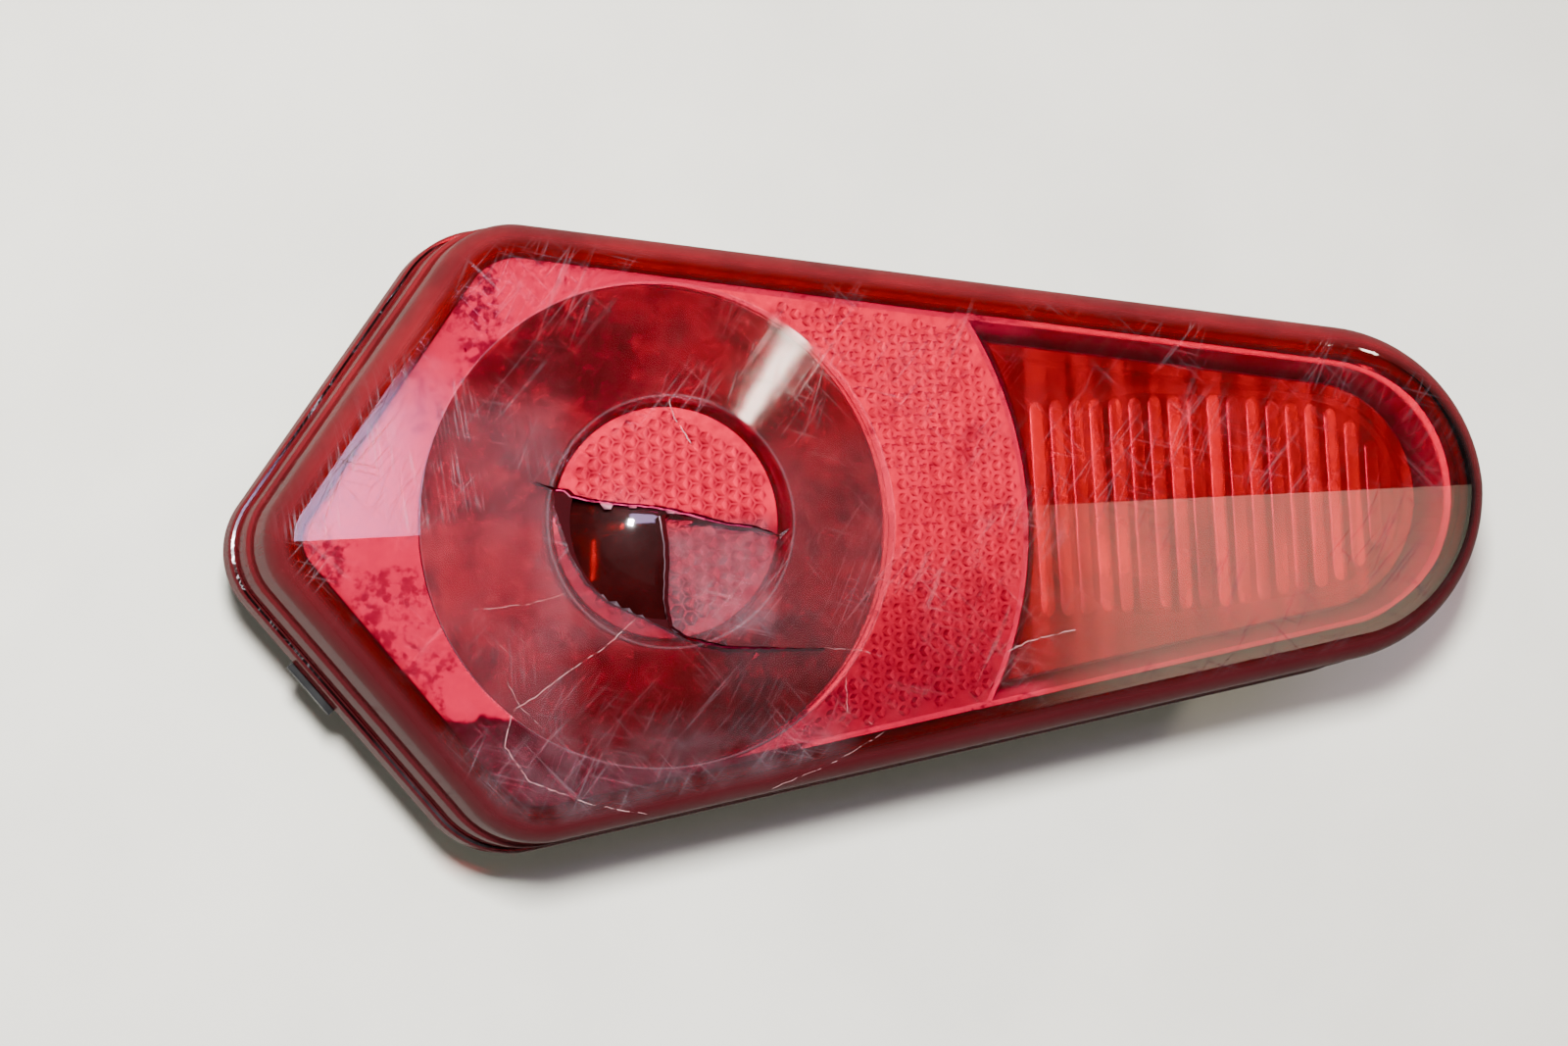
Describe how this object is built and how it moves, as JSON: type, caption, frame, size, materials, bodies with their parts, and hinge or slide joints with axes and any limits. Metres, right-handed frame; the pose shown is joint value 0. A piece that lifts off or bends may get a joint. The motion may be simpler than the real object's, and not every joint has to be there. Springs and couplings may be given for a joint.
{
  "type": "trailer tail light",
  "caption": "Kite-shaped red tail lamp with raised round stop and tail lens broken at its centre, reflex field and fluted marker window, on a black studded housing.",
  "frame": {"origin": "middle of the outline on the plane of the stud tips, which the lamp stands on", "axes": "+X from the pointed end to the round end, +Z out of the lens, +Y across the width"},
  "size_m": [0.223, 0.109, 0.0939],
  "materials": {
    "red_lens": "glossy, scratched",
    "reflex_red": "glossy, hexagonal cells",
    "window_optic": "clear, fluted",
    "bright_plate": "vacuum-metallised",
    "hood_black": "satin black",
    "dome_clear": "clear",
    "bulb_glass": "clear",
    "cap_brass": "nickel-plated brass",
    "filament_wire": "fine wire",
    "insulator_black": "glassy black",
    "solder": "soft metal",
    "socket_black": "moulded",
    "sleeve_steel": "plated",
    "terminal_metal": "tinned brass",
    "seal_rubber": "soft",
    "stud_zinc": "zinc plated",
    "housing_black": "fine moulded grain"
  },
  "bodies": {
    "lamp": {"outer_lens": "red_lens", "sealing_bead": "seal_rubber", "housing": "housing_black", "inner_bezel": "bright_plate", "reflex_panel": "reflex_red", "centre_reflex_insert": "reflex_red", "fluted_lens": "window_optic", "lamp_hood": "hood_black", "condenser_dome": "dome_clear", "main_reflector": "bright_plate", "window_reflector": "bright_plate", "mounting_studs": "stud_zinc", "stud_pads": "seal_rubber", "rear_screws": "sleeve_steel", "breather_cap": "seal_rubber"},
    "main_socket": {"main_socket_body": "socket_black", "main_socket_shell": "sleeve_steel", "main_socket_terminals": "terminal_metal", "main_socket_gasket": "seal_rubber", "plunger_springs": "filament_wire"},
    "main_bulb": {"main_bulb_glass": "bulb_glass", "main_bulb_cap": "cap_brass", "main_bulb_pins": "cap_brass", "main_bulb_stem": "bulb_glass", "main_bulb_filaments": "filament_wire", "main_bulb_insulator": "insulator_black", "main_bulb_contacts": "solder"},
    "contact_plungers": {"contact_plungers": "terminal_metal"},
    "marker_socket": {"marker_socket_body": "socket_black", "marker_socket_contacts": "terminal_metal", "marker_socket_gasket": "seal_rubber"},
    "marker_bulb": {"marker_bulb_glass": "bulb_glass", "marker_bulb_filament": "filament_wire"}
  },
  "joints": [
    {"name": "main_socket_twist", "type": "hinge", "parent": "lamp", "child": "main_socket", "pos_m": [-0.043, 0, 0.018], "axis": [0, 0, 1], "range_deg": [0, 45]},
    {"name": "marker_socket_twist", "type": "hinge", "parent": "lamp", "child": "marker_socket", "pos_m": [0.054, 0, 0.018], "axis": [0, 0, 1], "range_deg": [0, 45]},
    {"name": "main_bulb_push", "type": "slide", "parent": "main_socket", "child": "main_bulb", "axis": [0, 0, -1], "range_m": [0, 0.0025], "stiffness_N_per_m": 3000, "springref_m": -0.001},
    {"name": "plunger_slide", "type": "slide", "parent": "main_socket", "child": "contact_plungers", "axis": [0, 0, -1], "range_m": [0, 0.0025], "deforming": ["plunger_springs"]},
    {"name": "marker_bulb_pull", "type": "slide", "parent": "marker_socket", "child": "marker_bulb", "axis": [0, 0, 1], "range_m": [0, 0.008]}
  ],
  "couplings": [
    {"joint": "plunger_slide", "follows": "main_bulb_push", "ratio": 1}
  ]
}
